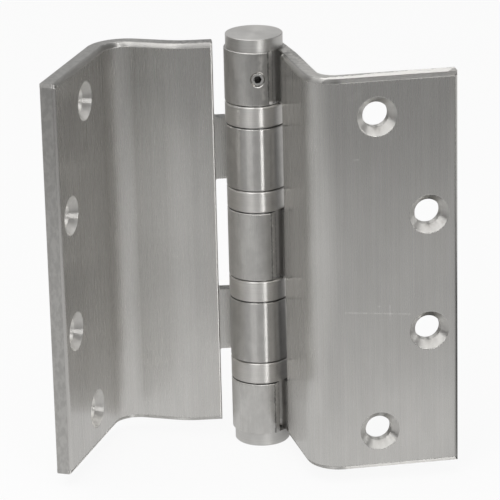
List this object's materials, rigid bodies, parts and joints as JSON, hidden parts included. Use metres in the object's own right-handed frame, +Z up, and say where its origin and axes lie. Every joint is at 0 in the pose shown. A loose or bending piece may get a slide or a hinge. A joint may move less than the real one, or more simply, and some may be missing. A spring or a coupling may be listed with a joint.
{
  "type": "butt hinge",
  "caption": "Swing-clear butt hinge with two bent, countersunk leaves whose curled knuckles turn on a headed pin, with ball bearing rings between the knuckles.",
  "frame": {"origin": "middle of the jamb leaf's seat face, between its screw rows, at the hinge's mid height", "axes": "+Z up the pin, +Y out of the jamb leaf's seat, +X along the jamb leaf's flange to its free edge"},
  "size_m": [0.1121, 0.0561, 0.1219],
  "materials": {
    "leaf_steel": "satin, brushed along the pin",
    "pin_steel": "turned",
    "screw_steel": "dark oxide with a bright rim",
    "case_steel": "fine turned, bright",
    "race_steel": "ground",
    "ball_steel": "polished"
  },
  "bodies": {
    "jamb_side": {"jamb_leaf": "leaf_steel", "hinge_pin": "pin_steel", "bottom_tip": "pin_steel", "set_screw": "screw_steel", "bearing_1_upper_race": "race_steel", "bearing_2_case": "case_steel", "bearing_2_lower_race": "race_steel", "bearing_3_upper_race": "race_steel", "bearing_4_case": "case_steel", "bearing_4_lower_race": "race_steel"},
    "door_side": {"door_leaf": "leaf_steel", "bearing_1_case": "case_steel", "bearing_1_lower_race": "race_steel", "bearing_2_upper_race": "race_steel", "bearing_3_case": "case_steel", "bearing_3_lower_race": "race_steel", "bearing_4_upper_race": "race_steel"},
    "ball_ring_1": {"bearing_1_balls": "ball_steel"},
    "ball_ring_2": {"bearing_2_balls": "ball_steel"},
    "ball_ring_3": {"bearing_3_balls": "ball_steel"},
    "ball_ring_4": {"bearing_4_balls": "ball_steel"}
  },
  "joints": [
    {"name": "leaf_swing", "type": "hinge", "parent": "jamb_side", "child": "door_side", "pos_m": [-0.03385, 0.03498, 0], "axis": [0, 0, 1], "range_deg": [-180, 116.9]},
    {"name": "ball_ring_1_orbit", "type": "hinge", "parent": "jamb_side", "child": "ball_ring_1", "pos_m": [-0.03385, 0.03498, 0.03837], "axis": [0, 0, 1], "range_deg": [-90, 58.45]},
    {"name": "ball_ring_2_orbit", "type": "hinge", "parent": "jamb_side", "child": "ball_ring_2", "pos_m": [-0.03385, 0.03498, 0.0134], "axis": [0, 0, 1], "range_deg": [-90, 58.45]},
    {"name": "ball_ring_3_orbit", "type": "hinge", "parent": "jamb_side", "child": "ball_ring_3", "pos_m": [-0.03385, 0.03498, -0.0134], "axis": [0, 0, 1], "range_deg": [-90, 58.45]},
    {"name": "ball_ring_4_orbit", "type": "hinge", "parent": "jamb_side", "child": "ball_ring_4", "pos_m": [-0.03385, 0.03498, -0.03837], "axis": [0, 0, 1], "range_deg": [-90, 58.45]}
  ],
  "couplings": [
    {"joint": "ball_ring_1_orbit", "follows": "leaf_swing", "ratio": 0.5},
    {"joint": "ball_ring_2_orbit", "follows": "leaf_swing", "ratio": 0.5},
    {"joint": "ball_ring_3_orbit", "follows": "leaf_swing", "ratio": 0.5},
    {"joint": "ball_ring_4_orbit", "follows": "leaf_swing", "ratio": 0.5}
  ]
}
